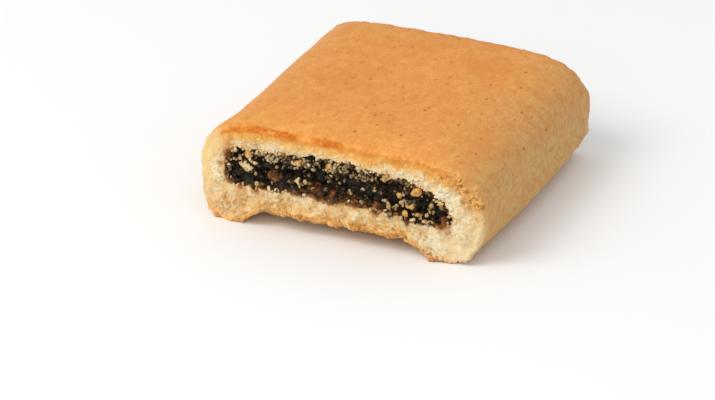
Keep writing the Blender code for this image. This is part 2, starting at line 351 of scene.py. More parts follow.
def pastry_rows():
    """The bar's rows: over the front crumb, the crust and the back crumb, and home through the channel."""
    outline = section_outline()
    normal = outward(outline)

    def half(end):
        """The rows of one end, from the edge of the paste to the middle of the bar, with what they are."""
        turns = np.linspace(0, math.pi / 2, RIM_STEPS)
        rims = [rim_row(outline, normal, end, turn) for turn in turns]
        inner = ribbon_ring(end, ragged=0.5 * MM)
        zero = np.zeros(SKIN_POINTS)
        rows, inward, from_cut, to_paste = [], [], [], []
        for share in np.linspace(1, 0, CRUMB_ROWS, endpoint=False):
            rows.append(crumb_row(rims[0], inner, share, end))
            places = rows[-1][:, [0, 2]]
            inward.append(distance_to(rims[0][:, [0, 2]], places) + RIM_ROUND_TOP / 2)
            from_cut.append(zero)
            to_paste.append(distance_to(inner, places))
        for turn, row in zip(turns, rims):
            rows.append(row)
            inward.append(zero + RIM_ROUND_TOP / 2 * (1 - math.sin(turn)))
            from_cut.append(zero + RIM_ROUND_TOP * (1 - math.cos(turn)))
        for step in np.linspace(0, 1, CRUST_ROWS):
            distance = mix(CRUST_FROM, LENGTH / 2 - 0.5 * MM, step**CRUST_SPREAD)
            rows.append(crust_row(outline, normal, end, distance))
            inward.append(zero)
            from_cut.append(zero + distance)
        to_paste += [zero + FAR] * (len(rows) - len(to_paste))
        return rows, inward, from_cut, to_paste

    front, back = half(FRONT), half(BACK)
    rows, inward, from_cut, to_paste = [one + other[::-1] for one, other in zip(front, back)]
    for side in np.linspace(0.9, -0.9, CHANNEL_ROWS):
        rows.append(with_y(ribbon_ring(side), side * LENGTH / 2))
        inward.append(np.full(SKIN_POINTS, FAR))
        from_cut.append(np.full(SKIN_POINTS, LENGTH / 2))
        to_paste.append(np.zeros(SKIN_POINTS))
    up = np.tile(normal[:, 1], (len(rows), 1))
    return [np.array(part) for part in (rows, inward, from_cut, to_paste, up)]


def deselect():
    bpy.ops.object.select_all(action="DESELECT")


def set_attribute(piece, name, values):
    layer = piece.data.attributes.new(name, "FLOAT", "POINT")
    layer.data.foreach_set("value", np.ascontiguousarray(values, dtype=np.float32))


def attribute_of(piece, name):
    values = np.empty(len(piece.data.vertices), dtype=np.float32)
    piece.data.attributes[name].data.foreach_get("value", values)
    return values


def points_of(piece, kind="co"):
    points = np.empty(len(piece.data.vertices) * 3, dtype=np.float32)
    piece.data.vertices.foreach_get(kind, points)
    return points.reshape(-1, 3)


def move_points(piece, points):
    piece.data.vertices.foreach_set("co", np.ascontiguousarray(points, dtype=np.float32).ravel())
    piece.data.update()


def rest_on_base(piece):
    """Lifts what is below the base up to it."""
    points = points_of(piece)
    points[:, 2] = np.maximum(points[:, 2], 0)
    move_points(piece, points)
    return points


def push_out(piece, distances):
    """Moves each point along its normal by its own distance."""
    move_points(piece, points_of(piece) + points_of(piece, "normal") * distances[:, None])


def weigh(piece, name, weights):
    """A vertex group of the weights, in steps."""
    group = piece.vertex_groups.new(name=name)
    steps = np.round(np.clip(weights, 0, 1) * WEIGHT_STEPS).astype(int)
    for step in range(1, WEIGHT_STEPS + 1):
        chosen = np.flatnonzero(steps == step).tolist()
        if chosen:
            group.add(chosen, step / WEIGHT_STEPS, "REPLACE")


def roughen(piece, name, height, size, group="", direction="NORMAL", middle=0.5, **values):
    """Displaces the piece by a random texture with lumps of that size, and applies it."""
    texture = bpy.data.textures.new(name, "CLOUDS")
    texture.noise_scale = size
    for key, value in values.items():
        setattr(texture, key, value)
    push = piece.modifiers.new(name, "DISPLACE")
    push.texture = texture
    push.texture_coords = "LOCAL"
    push.strength = height
    push.mid_level = middle
    push.vertex_group = group
    push.direction = direction
    bpy.context.view_layer.objects.active = piece
    bpy.ops.object.modifier_apply(modifier=name)


def close_up(piece):
    """Joins the edges that meet, and turns all faces outwards."""
    deselect()
    piece.select_set(True)
    bpy.context.view_layer.objects.active = piece
    bpy.ops.object.mode_set(mode="EDIT")
    bpy.ops.mesh.select_all(action="SELECT")
    bpy.ops.mesh.remove_doubles(threshold=SEAM)
    bpy.ops.mesh.normals_make_consistent(inside=False)
    bpy.ops.object.mode_set(mode="OBJECT")
    bpy.ops.object.shade_smooth()


def cut_shift(points, shift, size):
    """A small shift for each point's place on the cut."""
    return shift * shaken(points, size, RIM_PATTERN)[:, [0, 2]]


def crumble(bar, strength):
    """Breaks the cut into grains of two sizes, each a little higher or lower than the next."""
    points = points_of(bar)
    places = points[:, [0, 2]] + cut_shift(points, 0.3 * MM, 0.8 * MM)
    lump_size, lump_height, lump_unevenness = LUMPS
    lump_depth, lump_value = random_cells(places, lump_size * MM, LUMP_CELLS)
    places += cut_shift(points, 0.12 * MM, 0.3 * MM)
    size, height, unevenness = GRAINS
    depth, value = random_cells(places, size * MM, GRAIN_CELLS)
    rounded = smooth(2 * lump_depth)
    rise = lump_unevenness * (lump_value - 0.5) * rounded + lump_height * rounded
    rise += (height + unevenness * (value - 0.5)) * smooth(2.2 * depth)
    raised = (0.2 + 0.25 * value) * shoulder_crumbs(points)
    push_out(bar, (strength * rise + raised) * MM)
    set_attribute(bar, "shade", 0.3 * (value - 0.5) + 0.25 * (lump_value - 0.5))
    # How deep each point lies in a gap between grains: the mask for painted shade there
    set_attribute(bar, "painted_shade_in_gaps", strength * (1 - smooth(3 * depth)))


def shoulder_crumbs(points):
    """1 on the toasted crumbs along the cuts' right shoulder, ragged at their edges."""
    ragged = 0.5 * shaken(points, 0.8 * MM, RIM_PATTERN) + 0.35 * shaken(points, 0.35 * MM, RIM_PATTERN)
    at_cut = smooth((np.abs(points[:, 1]) - AT_CUT) / MM)
    return at_cut * near_places(points - CENTRED + ragged * MM, SHOULDER_CRUMBS)


def make_pastry():
    """The bar is a ring: a grid joined round the section, and over the crust and back through the channel."""
    rows, inward, from_cut, to_paste, up = [
        np.concatenate([part, part[:1]])[:, list(range(SKIN_POINTS)) + [0]] for part in pastry_rows()
    ]
    deselect()
    bpy.ops.mesh.primitive_grid_add(x_subdivisions=SKIN_POINTS, y_subdivisions=len(rows) - 1, size=LENGTH)
    bar = bpy.context.object
    bar.name = "baked_bar"
    move_points(bar, rows.reshape(-1, 3) + CENTRED)
    set_attribute(bar, "inward", inward.ravel() / MM)
    set_attribute(bar, "from_cut", from_cut.ravel() / MM)
    set_attribute(bar, "to_paste", to_paste.ravel() / MM)
    set_attribute(bar, "under", smooth(-up.ravel() / 0.7))
    close_up(bar)
    inward, from_cut, under = [attribute_of(bar, name) for name in ("inward", "from_cut", "under")]
    crumb = smooth((inward - 0.3) / 1.1) * (from_cut < LENGTH / MM / 4)
    near_rim = smooth(1 - from_cut / 2.5) * smooth(1 - inward / 1.4)
    points = points_of(bar)
    to_right = right_in_front(points)
    shoulder = smooth((to_right - 10) / 3) * smooth((points[:, 2] / MM - 4) / 2)
    weigh(bar, "crumb", crumb)
    weigh(bar, "crag", near_rim * under)
    weigh(bar, "rim", near_rim)
    weigh(bar, "crust", 1 - crumb)
    weigh(bar, "toasted", toast(points_of(bar) - CENTRED, from_cut - inward))
    roughen(bar, "blistered streaks", 0.22 * MM, 0.7 * MM, "toasted", middle=0.2, noise_depth=1)
    roughen(bar, "crags", 0.65 * MM, 0.9 * MM, "crag", "RGB_TO_XYZ", cloud_type="COLOR", noise_depth=2)
    roughen(bar, "bites", 0.6 * MM, 1.7 * MM, "crag", noise_depth=1)
    roughen(bar, "crumbly rim", 0.22 * MM, 0.6 * MM, "rim", noise_depth=3)
    roughen(bar, "crumb lumps", 0.5 * MM, 1.1 * MM, "crumb", noise_depth=3)
    torn = np.maximum(0.9 * under**2, np.maximum(0.55, shoulder) * smooth(inward / 0.3 + 0.5 * shoulder))
    calm = 1 - 0.25 * smooth((9 - to_right) / 3)
    crumble(bar, calm * np.maximum(crumb, near_rim * torn))
    roughen(bar, "crust dimples", 0.03 * MM, 1.1 * MM, "crust", noise_depth=2)
    points = rest_on_base(bar)
    set_attribute(bar, "toast", toast(points - CENTRED, from_cut - inward))
    set_attribute(bar, "browned", shoulder_crumbs(points))
    set_attribute(bar, "stain", near_places(points - CENTRED, STAINS))
    over = points[:, 2] - middle_line(points[:, 0], end_of(points))
    below = (over < 0) * smooth((0.5 * MM - over) / MM)
    uneven = 1 + 0.6 * lumps(points, 1.3 * MM, SOAK_PATTERN)
    set_attribute(bar, "soaked", below * (0.3 + 0.45 * juicy(points)) * uneven)
    bar.vertex_groups.clear()
    return bar


def right_in_front(points):
    """How far right each point lies, in mm, seen on the cut from outside: the back cut mirrors the front."""
    return points[:, 0] * -np.sign(points[:, 1]) / MM


def end_of(points):
    """The end that each point is nearer to, FRONT or BACK."""
    return np.where(points[:, 1] < 0, -1.0, 1.0)


def juicy(points):
    """1 in the middle of the cuts, where the crumb below the paste is soaked, and 0 towards the sides."""
    x = right_in_front(points)
    return smooth((x + 8) / 3) * smooth((7 - x) / 2)


def paste_distance(points):
    """How far each point lies outside the ribbon's outline, roughly."""
    end = end_of(points)
    x = points[:, 0] - along_ribbon(RIBBON_SHIFT, end)
    z = points[:, 2] - middle_line(x, end)
    half_width, half_depth = ribbon_halves(end)
    straight = half_width - half_depth
    beyond = np.maximum(0, np.abs(x) - straight)
    return np.hypot(beyond, z) - half_depth


def near_places(points, places):
    """1 at the listed places of the cuts and 0 beyond each one's radius; mirrored on the back cut."""
    x, z = right_in_front(points), points[:, 2] / MM
    total = np.zeros(len(points))
    for place_x, place_z, radius in places:
        total = np.maximum(total, smooth(1.4 * (1 - np.hypot(x - place_x, z - place_z) / radius)))
    return total


# Toasted streaks of the front top rim, in mm: from x, to x, behind the edge at both, thickness, strength
STREAKS = [
    (-15.4, -12.2, 0.65, 0.5, 0.22, 0.9),
    (-17.2, -12.8, -0.5, -0.2, 0.45, 1.2),
    (-14.0, -9.4, -0.15, 0.2, 0.5, 1.35),
    (-10.9, -5.1, 0.25, -0.2, 0.55, 1.4),
    (-4.4, -1.4, 0.0, -0.05, 0.5, 1.1),
    (-3.1, 0.6, -0.05, -0.15, 0.75, 1.4),
    (1.0, 3.2, -0.35, -0.35, 0.2, 0.25),
    (3.9, 6.0, -0.35, -0.35, 0.25, 0.45),
    (6.0, 8.4, -0.4, -0.4, 0.35, 0.7),
    (9.0, 11.7, -0.55, -0.6, 0.4, 0.42),
    (12.8, 14.6, -0.8, -0.8, 0.35, 0.35),
]

# Places on the front cut, as x, z and radius in mm. First, where the figs stain the crumb
STAINS = [
    (5.1, 5.3, 1.2),
    (2.1, 5.7, 1.2),
    (0.2, 5.9, 0.7),
    (-1.6, 6.0, 0.8),
    (-3.4, 6.1, 0.7),
    (14.3, 4.7, 1.3),
    (15.0, 6.0, 0.7),
    (9.5, 4.5, 0.6),
    (-15.2, 11.4, 0.7),
    (-15.3, 10.5, 0.9),
    (-15.5, 9.6, 1.0),
    (-15.4, 8.6, 0.8),
    (-15.5, 7.6, 0.7),
    (-16.5, 7.8, 0.6),
    (-15.5, 6.6, 0.8),
    (-15.3, 5.6, 1.1),
    (-13.6, 5.0, 0.7),
    (-11.2, 5.0, 0.7),
]

# Toasted crumbs that stand up along the right shoulder
SHOULDER_CRUMBS = [
    (13.1, 11.2, 0.6),
    (14.5, 11.4, 0.55),
    (15.8, 11.2, 0.5),
    (16.6, 10.6, 0.5),
    (17.4, 10.0, 0.45),
    (17.9, 9.4, 0.35),
    (18.5, 8.4, 1.2),
    (18.5, 6.7, 0.4),
]

# Where red-brown fig flesh shows in the paste
FLESH = [
    (6.8, 10.3, 0.9),
    (-8.8, 7.5, 1.4),
    (-10.3, 6.0, 0.7),
    (-3.3, 6.9, 1.3),
    (-1.0, 6.6, 0.85),
    (2.1, 6.3, 0.8),
    (5.1, 6.1, 0.8),
    (14.3, 5.5, 1.2),
    (-15.1, 9.3, 0.7),
    (-15.0, 5.6, 0.8),
]

# Where the paste must not bulge over its edge
PRESSED = [(6.9, 10.4, 1.4)]

# Where the paste is smeared smooth by the blade, with few granules
SMEARED = [
    (1.6, 8.6, 1.1),
    (2.7, 8.2, 1.2),
    (3.9, 7.8, 1.2),
    (5.1, 7.3, 1.1),
    (-12.6, 6.3, 1.3),
    (-11.2, 6.9, 0.8),
    (-14.2, 7.4, 1.0),
    (-7.8, 6.8, 1.1),
    (-6.4, 6.5, 0.9),
    (-6.9, 8.9, 0.8),
    (-10.2, 8.6, 0.9),
    (-2.6, 8.6, 0.8),
    (11.5, 7.4, 0.9),
    (13.6, 6.9, 1.2),
]


def toast(points, behind):
    """How much darker each point of the front top rim is baked; behind is negative on the cut."""
    x, y, z = points.T / MM
    total = np.zeros(len(points))
    ragged = 0.6 * lumps(points, 0.9 * MM, TOAST_PATTERN) + 0.6 * lumps(points, 0.35 * MM, TOAST_PATTERN + 1)
    width = 1 + 0.5 * lumps(points, 1.5 * MM, TOAST_PATTERN + 2)
    for start, stop, back_at_start, back_at_stop, thick, strength in STREAKS:
        middle, half = (start + stop) / 2, (stop - start) / 2
        back = mix(back_at_start, back_at_stop, np.clip((x - start) / (stop - start), 0, 1))
        ends = smooth(1.25 * (1.15 - np.abs(x - middle) / half + 0.4 * ragged))
        depth = smooth(0.9 * (1.3 - np.abs(behind - back + 0.3 * ragged) / (0.92 * thick * width)))
        total = np.maximum(total, strength * ends * depth)
    return 0.88 * total * (y < 0) * (z > 9)


def make_paste():
    """The ribbon starts as a grid on the front cut, which is extruded along the channel to the back cut."""
    deselect()
    bpy.ops.mesh.primitive_grid_add(
        x_subdivisions=PASTE_COLUMNS, y_subdivisions=PASTE_LAYERS, size=2, rotation=(math.pi / 2, 0, 0)
    )
    paste = bpy.context.object
    paste.name = "fig_ribbon"
    bpy.ops.object.transform_apply(location=True, rotation=True, scale=True)
    bpy.ops.object.mode_set(mode="EDIT")
    bpy.ops.mesh.select_all(action="SELECT")
    for _ in range(CHANNEL_ROWS + 1):
        bpy.ops.mesh.extrude_region_move(TRANSFORM_OT_translate={"value": (0, 2 / (CHANNEL_ROWS + 1), 0)})
    bpy.ops.object.mode_set(mode="OBJECT")
    across, along, up = points_of(paste).T
    side = np.clip(along - 1, -1, 1)
    x = np.sin(across * math.pi / 2)
    z = up * (1 - np.abs(x) ** RIBBON_BLUNTNESS) ** (1 / np.where(x < 0, *RIBBON_SQUARENESS))
    half_width, half_depth = ribbon_halves(side)
    x, z = ribbon_place(x * (half_width + PASTE_OVERLAP), z * (half_depth + PASTE_OVERLAP), side)
    points = with_y(np.stack([x, z], axis=1), side * LENGTH / 2)
    inside = smooth(-paste_distance(points) / (0.9 * MM))
    for end in (FRONT, BACK):
        cut = np.isclose(side, end)
        places = points[cut][:, [0, 2]]
        crumb = relief(places, end, CRUMB_SWELL, CRUMB_GRAIN)
        bumps = mix(crumb, relief(places, end, PASTE_SWELL, PASTE_GRAIN), inside[cut])
        points[cut, 1] = end * (reach_of_cut(*places.T, end) + bumps)
    move_points(paste, points + CENTRED)
    close_up(paste)
    points = points_of(paste)
    smeared = near_places(points - CENTRED, SMEARED)
    set_attribute(paste, "smeared", smeared)
    flat = np.maximum(0.6 * smeared, near_places(points - CENTRED, PRESSED))
    weigh(paste, "cut", smooth((np.abs(points[:, 1]) - NEAR_CUT) / (2 * MM)) * (1 - flat))
    creased = {"group": "cut", "middle": 0.35, "noise_type": "HARD_NOISE"}
    roughen(paste, "fig lumps", 1.4 * MM, 1.6 * MM, noise_depth=2, **creased)
    roughen(paste, "fig folds", 0.8 * MM, 0.75 * MM, noise_depth=1, **creased)
    roughen(paste, "fig shift", 0.3 * MM, 0.6 * MM, "cut", "RGB_TO_XYZ", cloud_type="COLOR", noise_depth=2)
    paste.vertex_groups.clear()
    points = points_of(paste)
    places = points[:, [0, 2]] + cut_shift(points, 0.15 * MM, 0.5 * MM)
    size, height, unevenness = GRIT
    depth, value = random_cells(places, size * MM, GRIT_CELLS)
    flesh, smeared = [near_places(points - CENTRED, places) for places in (FLESH, SMEARED)]
    gritty = mix(0.3, 1, smooth(2 * lumps(points, 1.8 * MM, GRIT_PATTERN) + 0.6))
    gritty = gritty * (1 - 0.9 * smeared) * (1 - 0.6 * flesh) * (np.abs(points[:, 1]) > NEAR_CUT)
    push_out(paste, gritty * (height + unevenness * value) * smooth(2 * depth) * MM)
    end = end_of(points)
    above_edge = points[:, 2] - middle_line(points[:, 0], end) + ribbon_halves(end)[1]
    set_attribute(paste, "low_edge", smooth(1 - above_edge / (1.1 * MM)) * (0.35 + 0.65 * juicy(points)))
    set_attribute(paste, "flesh", flesh)
    set_attribute(paste, "grit", gritty * value**2 * smooth(3 * depth))
    return paste


def jittered(spacing, draw):
    """Places all over a cut, about evenly spaced."""
    step_up = spacing * 0.87
    for row in range(round(HEIGHT / step_up) + 1):
        for column in range(round(WIDTH / spacing) + 1):
            x = (column + row % 2 / 2) * spacing - WIDTH / 2
            yield x + draw.uniform(-0.4, 0.4) * spacing, row * step_up + draw.uniform(-0.4, 0.4) * spacing


def seed_shape():
    """A fig seed, one long: a ball drawn out to a blunt point at one end."""
    deselect()
    bpy.ops.mesh.primitive_uv_sphere_add(segments=8, ring_count=6, radius=0.5)
    seed = bpy.context.object
    seed.name = "seed_shape"
    points = points_of(seed)
    pinch = 1 - 0.35 * smooth(points[:, 2] / 0.5 + 0.2)
    points[:, 0] *= 0.82 * pinch
    points[:, 1] *= 0.7 * pinch
    move_points(seed, points)
    return seed


def grain_shape():
    """A grain of crumb, one across: a lumpy broken ball."""
    deselect()
    bpy.ops.mesh.primitive_uv_sphere_add(segments=8, ring_count=5, radius=0.5)
    grain = bpy.context.object
    grain.name = "grain_shape"
    roughen(grain, "grain lumps", 0.6, 0.45, noise_depth=1)
    roughen(grain, "grain corners", 0.55, 0.4, direction="RGB_TO_XYZ", cloud_type="COLOR", noise_depth=1)
    return grain


def surface(piece):
    """The piece's surface for finding places on it."""
    return BVHTree.FromObject(piece, bpy.context.evaluated_depsgraph_get())


def on_cut(tree, x, z, end):
    """The point of a cut at x and z, its outward normal and its face's number, or None beside the cut."""
    start = Vector((x, end * BEFORE_CUT, z)) + Vector(CENTRED)
    spot, normal, face, _ = tree.ray_cast(start, Vector((0, -end, 0)))
    return None if spot is None or abs(spot.y) < AT_CUT else (spot, normal, face)


def set_down(shape, name, settings, values):
    """Copies of the shape, each placed by its own matrix and with its own values, joined as one piece."""
    source = points_of(shape)
    points, polygons = [], []
    for number, setting in enumerate(settings):
        turned = np.array(setting)
        points.append(source @ turned[:3, :3].T + turned[:3, 3])
        for face in shape.data.polygons:
            polygons.append([index + number * len(source) for index in face.vertices])
    data = bpy.data.meshes.new(name)
    data.from_pydata(np.concatenate(points), [], polygons)
    piece = bpy.data.objects.new(name, data)
    bpy.context.scene.collection.objects.link(piece)
    for key, each in values.items():
        set_attribute(piece, key, np.repeat(each, len(source)))
    data.shade_smooth()
    bpy.data.objects.remove(shape)
    return piece


def lying(spot, normal, size, draw, sunk, uneven):
    """A matrix that lays a shape of that size on the spot, turned at random, sunk by a share of its size."""
    tilt = normal.to_track_quat("Y", "Z")
    spin = Quaternion((0, 1, 0), draw.uniform(0, 2 * math.pi))
    lean = Quaternion((draw.uniform(-1, 1), 0, draw.uniform(-1, 1)), draw.uniform(0, 0.6))
    turn = (tilt @ lean @ spin).to_matrix().to_4x4()
    flat, narrow = 1 - draw.uniform(*uneven), 1 - draw.uniform(*uneven)
    middle = Matrix.Translation(spot + normal * size * (0.33 - sunk))
    return middle @ turn @ Matrix.Diagonal((size, size * flat, size * narrow, 1))


def share_near(draw, middle, spread):
    """A random share from 0 to 1, mostly near the middle one."""
    return min(1, max(0, draw.gauss(middle, spread)))


# Groups of fig seeds on the front cut, in mm: x, z, spread across and up, how many, size, how golden
SEED_GROUPS = [
    (-12.16, 9.6, 0.2, 0.15, 2, 1.0, 0.75),
    (-11.45, 7.4, 0.02, 0.02, 1, 0.65, 0.25),
    (-11.0, 6.1, 0.02, 0.02, 1, 0.75, 0.25),
    (-13.8, 8.9, 0.5, 0.4, 3, 0.5, 0.2),
    (-5.95, 9.8, 0.2, 0.2, 2, 0.9, 0.6),
    (-6.1, 9.0, 0.1, 0.1, 1, 0.6, 0.1),
    (-4.25, 7.65, 0.05, 0.05, 1, 0.75, 0.3),
    (-3.3, 9.2, 0.5, 0.2, 3, 0.5, 0.1),
    (-1.16, 10.3, 0.1, 0.1, 2, 0.9, 0.75),
    (0.8, 9.9, 0.9, 0.3, 5, 0.5, 0.15),
    (3.4, 9.8, 0.6, 0.3, 4, 0.5, 0.25),
    (5.04, 8.14, 0.02, 0.02, 1, 0.5, 0.0),
    (6.61, 10.2, 0.2, 0.1, 2, 0.9, 0.7),
    (6.2, 6.9, 0.2, 0.1, 2, 0.55, 0.2),
    (6.9, 6.55, 0.15, 0.12, 3, 0.65, 0.3),
    (7.8, 6.45, 0.12, 0.12, 2, 0.7, 0.1),
    (8.5, 7.1, 0.25, 0.2, 5, 0.6, 0.45),
    (9.1, 7.5, 0.08, 0.08, 1, 0.75, 0.2),
    (9.9, 6.9, 0.2, 0.15, 3, 0.75, 0.55),
    (8.05, 7.9, 0.02, 0.02, 1, 0.95, 0.6),
    (10.57, 9.05, 0.02, 0.02, 1, 1.35, 0.85),
    (9.7, 9.4, 0.05, 0.05, 1, 0.6, 0.6),
    (9.4, 5.75, 0.03, 0.03, 1, 1.0, 0.95),
    (12.6, 7.2, 0.15, 0.15, 3, 0.7, 0.5),
    (11.2, 5.8, 0.3, 0.2, 4, 0.65, 0.6),
    (14.85, 6.3, 0.02, 0.02, 1, 0.7, 0.1),
]
STRAY_SEEDS = 12
STRAY_SEED_SIZE = (0.35, 0.6)
LARGE_SEED = 0.8

# How deep each kind of bit is sunk, how uneven its sides are, and the number its random draws start from
SUNK_SEED = 0.2
SUNK_LARGE_SEED = {FRONT: 0.05, BACK: 0.33}
SUNK_CRUMB = 0.3
SUNK_GRANULE = 0.38
SUNK_GRAIN = 0.58
UNEVEN_SEED = (0, 0.2)
UNEVEN_CRUMB = (0.1, 0.4)
UNEVEN_GRAIN = (0.1, 0.45)
SEED_DRAW, CRUMB_DRAW, GRANULE_DRAW = 11, 12, 15
GRAIN_DRAW = {FRONT: 13, BACK: 14}

# Clumps of pale crumb on the front cut's paste, in mm: x, z, spread across and up, how many, size, how clean
CRUMB_GROUPS = [
    (-12.55, 8.1, 0.38, 0.26, 18, 1.1, 0.8),
    (-13.7, 8.8, 0.5, 0.12, 10, 0.6, 0.35),
    (-12.1, 9.5, 0.35, 0.25, 8, 0.8, 0.6),
    (-11.0, 10.0, 0.4, 0.2, 12, 0.7, 0.25),
    (-9.8, 10.0, 0.5, 0.2, 14, 0.7, 0.3),
    (-8.4, 9.9, 0.5, 0.2, 14, 0.7, 0.35),
    (-9.3, 9.3, 0.3, 0.12, 6, 0.6, 0.6),
    (-6.0, 9.6, 0.25, 0.3, 7, 0.8, 0.7),
    (-4.0, 9.8, 0.55, 0.28, 26, 0.55, 0.35),
    (-5.5, 7.25, 0.14, 0.26, 7, 0.8, 0.9),
    (-4.3, 7.6, 0.2, 0.12, 4, 0.7, 0.5),
    (-1.2, 9.4, 0.25, 0.3, 12, 0.75, 0.8),
    (-1.1, 10.2, 0.35, 0.15, 8, 0.6, 0.5),
    (0.8, 9.9, 0.5, 0.25, 14, 0.5, 0.25),
    (2.9, 9.8, 0.5, 0.2, 9, 0.6, 0.3),
    (4.6, 9.6, 0.5, 0.2, 8, 0.5, 0.3),
    (6.3, 5.1, 0.35, 0.3, 10, 0.9, 0.8),
    (3.2, 6.2, 0.15, 0.12, 4, 0.7, 0.6),
    (7.4, 6.4, 0.5, 0.15, 8, 0.5, 0.3),
    (10.8, 5.8, 0.25, 0.2, 9, 0.6, 0.8),
    (11.85, 5.8, 0.12, 0.15, 6, 0.7, 0.75),
    (11.9, 5.0, 0.3, 0.15, 8, 0.7, 0.65),
    (12.6, 7.1, 0.2, 0.2, 4, 0.6, 0.4),
    (13.6, 8.1, 0.25, 0.15, 10, 0.7, 1.0),
]
DUSTY_TO_CLEAN = (0.58, 1.05)
STRAY_CRUMBS = 190
GRANULES = 330
GRANULE_SIZE = (0.2 * MM, 0.6 * MM, 0.3 * MM)


def scatter_seeds(paste):
    draw = random.Random(SEED_DRAW)
    tree = surface(paste)
    settings, shades = [], []

    def add(x, z, end, size, golden):
        found = on_cut(tree, x * MM, z * MM, end)
        if not found:
            return
        spot, normal, _ = found
        large = size >= LARGE_SEED
        if large and end == BACK:
            normal = (normal + Vector((0, 2 * end, 0))).normalized()
        sunk = SUNK_LARGE_SEED[end] if large else SUNK_SEED
        size = 1.1 * size * draw.uniform(0.85, 1.15) * MM
        settings.append(lying(spot, normal, size, draw, sunk, UNEVEN_SEED))
        shades.append(share_near(draw, golden, 0.12))

    for end in (FRONT, BACK):
        for x, z, across, up, count, size, golden in SEED_GROUPS:
            for _ in range(count):
                add(draw.gauss(-end * x, across), draw.gauss(z, up), end, size, golden)
        for _ in range(STRAY_SEEDS):
            x, z = ribbon_place(draw.uniform(-14.5, 14.5) * MM, draw.uniform(-2, 2.2) * MM, end)
            add(x / MM, z / MM, end, draw.uniform(*STRAY_SEED_SIZE), draw.uniform(0, 0.9))
    return set_down(seed_shape(), "fig_seeds", settings, {"shade": shades})


def scatter_crumbs(paste):
    """Pale crumbs dragged over the paste by the blade, most of them along its upper edge."""
    draw = random.Random(CRUMB_DRAW)
    tree = surface(paste)
    settings, shades = [], []

    def add(x, z, end, size, clean):
        found = on_cut(tree, x, z, end)
        if not found:
            return
        size = draw.triangular(0.4, 1, 0.7) * size * MM
        settings.append(lying(*found[:2], size, draw, SUNK_CRUMB, UNEVEN_CRUMB))
        shades.append(share_near(draw, mix(*DUSTY_TO_CLEAN, clean), 0.08))

    for end in (FRONT, BACK):
        for x, z, across, up, count, size, clean in CRUMB_GROUPS:
            for _ in range(count):
                add(draw.gauss(-end * x, across) * MM, draw.gauss(z, up) * MM, end, size, clean)
        for _ in range(STRAY_CRUMBS):
            share = draw.uniform(-1, 1)
            edge = 2.5 * math.sqrt(1 - abs(share) ** RIBBON_BLUNTNESS)
            down = abs(draw.gauss(0, 0.45)) if draw.random() < 0.85 else draw.uniform(0, 2 * edge)
            x, z = ribbon_place(share * 15 * MM, (edge - down) * MM, end)
            add(x, z, end, draw.uniform(0.35, 0.8), draw.uniform(-0.3, 0.5))
    return set_down(grain_shape(), "pale_crumbs", settings, {"shade": shades})


def scatter_granules(paste):
    """The grit of the paste: small seeds and fibres coated in it, from dark to dusty."""
    draw = random.Random(GRANULE_DRAW)
    tree = surface(paste)
    settings, shades = [], []
    for end in (FRONT, BACK):
        across = [draw.uniform(-15, 15) * MM for _ in range(GRANULES)]
        up = [draw.triangular(-2.5, 2.6, 1.4) * MM for _ in range(GRANULES)]
        x, z = ribbon_place(np.array(across), np.array(up), end)
        smeared = near_places(with_y(np.stack([x, z], axis=1), end), SMEARED)
        for spot_x, spot_z, height, bare in zip(x, z, up, smeared):
            found = on_cut(tree, spot_x, spot_z, end)
            if not found or draw.random() < 0.85 * bare:
                continue
            size = draw.triangular(*GRANULE_SIZE)
            settings.append(lying(*found[:2], size, draw, SUNK_GRANULE, UNEVEN_CRUMB))
            dusty = 0.85 if draw.random() < 0.1 else 0.15 + 0.15 * height / (2.5 * MM)
            shades.append(share_near(draw, dusty, 0.2))
    return set_down(grain_shape(), "fig_granules", settings, {"shade": shades})


GRAIN_SPACING = 1.0 * MM
GRAIN_SIZE = (0.3 * MM, 0.9 * MM, 0.5 * MM)

# Grains of the lower rim and of the edge of the paste: how many, smallest, largest and usual size in mm,
# how deep they are sunk, and how browned they get
TOASTED_GRAINS = (160, (0.22, 0.95, 0.4), 0.42, 0.65)
PASTE_GRAINS = (150, (0.25, 0.75, 0.45), 0.4, 0.0)


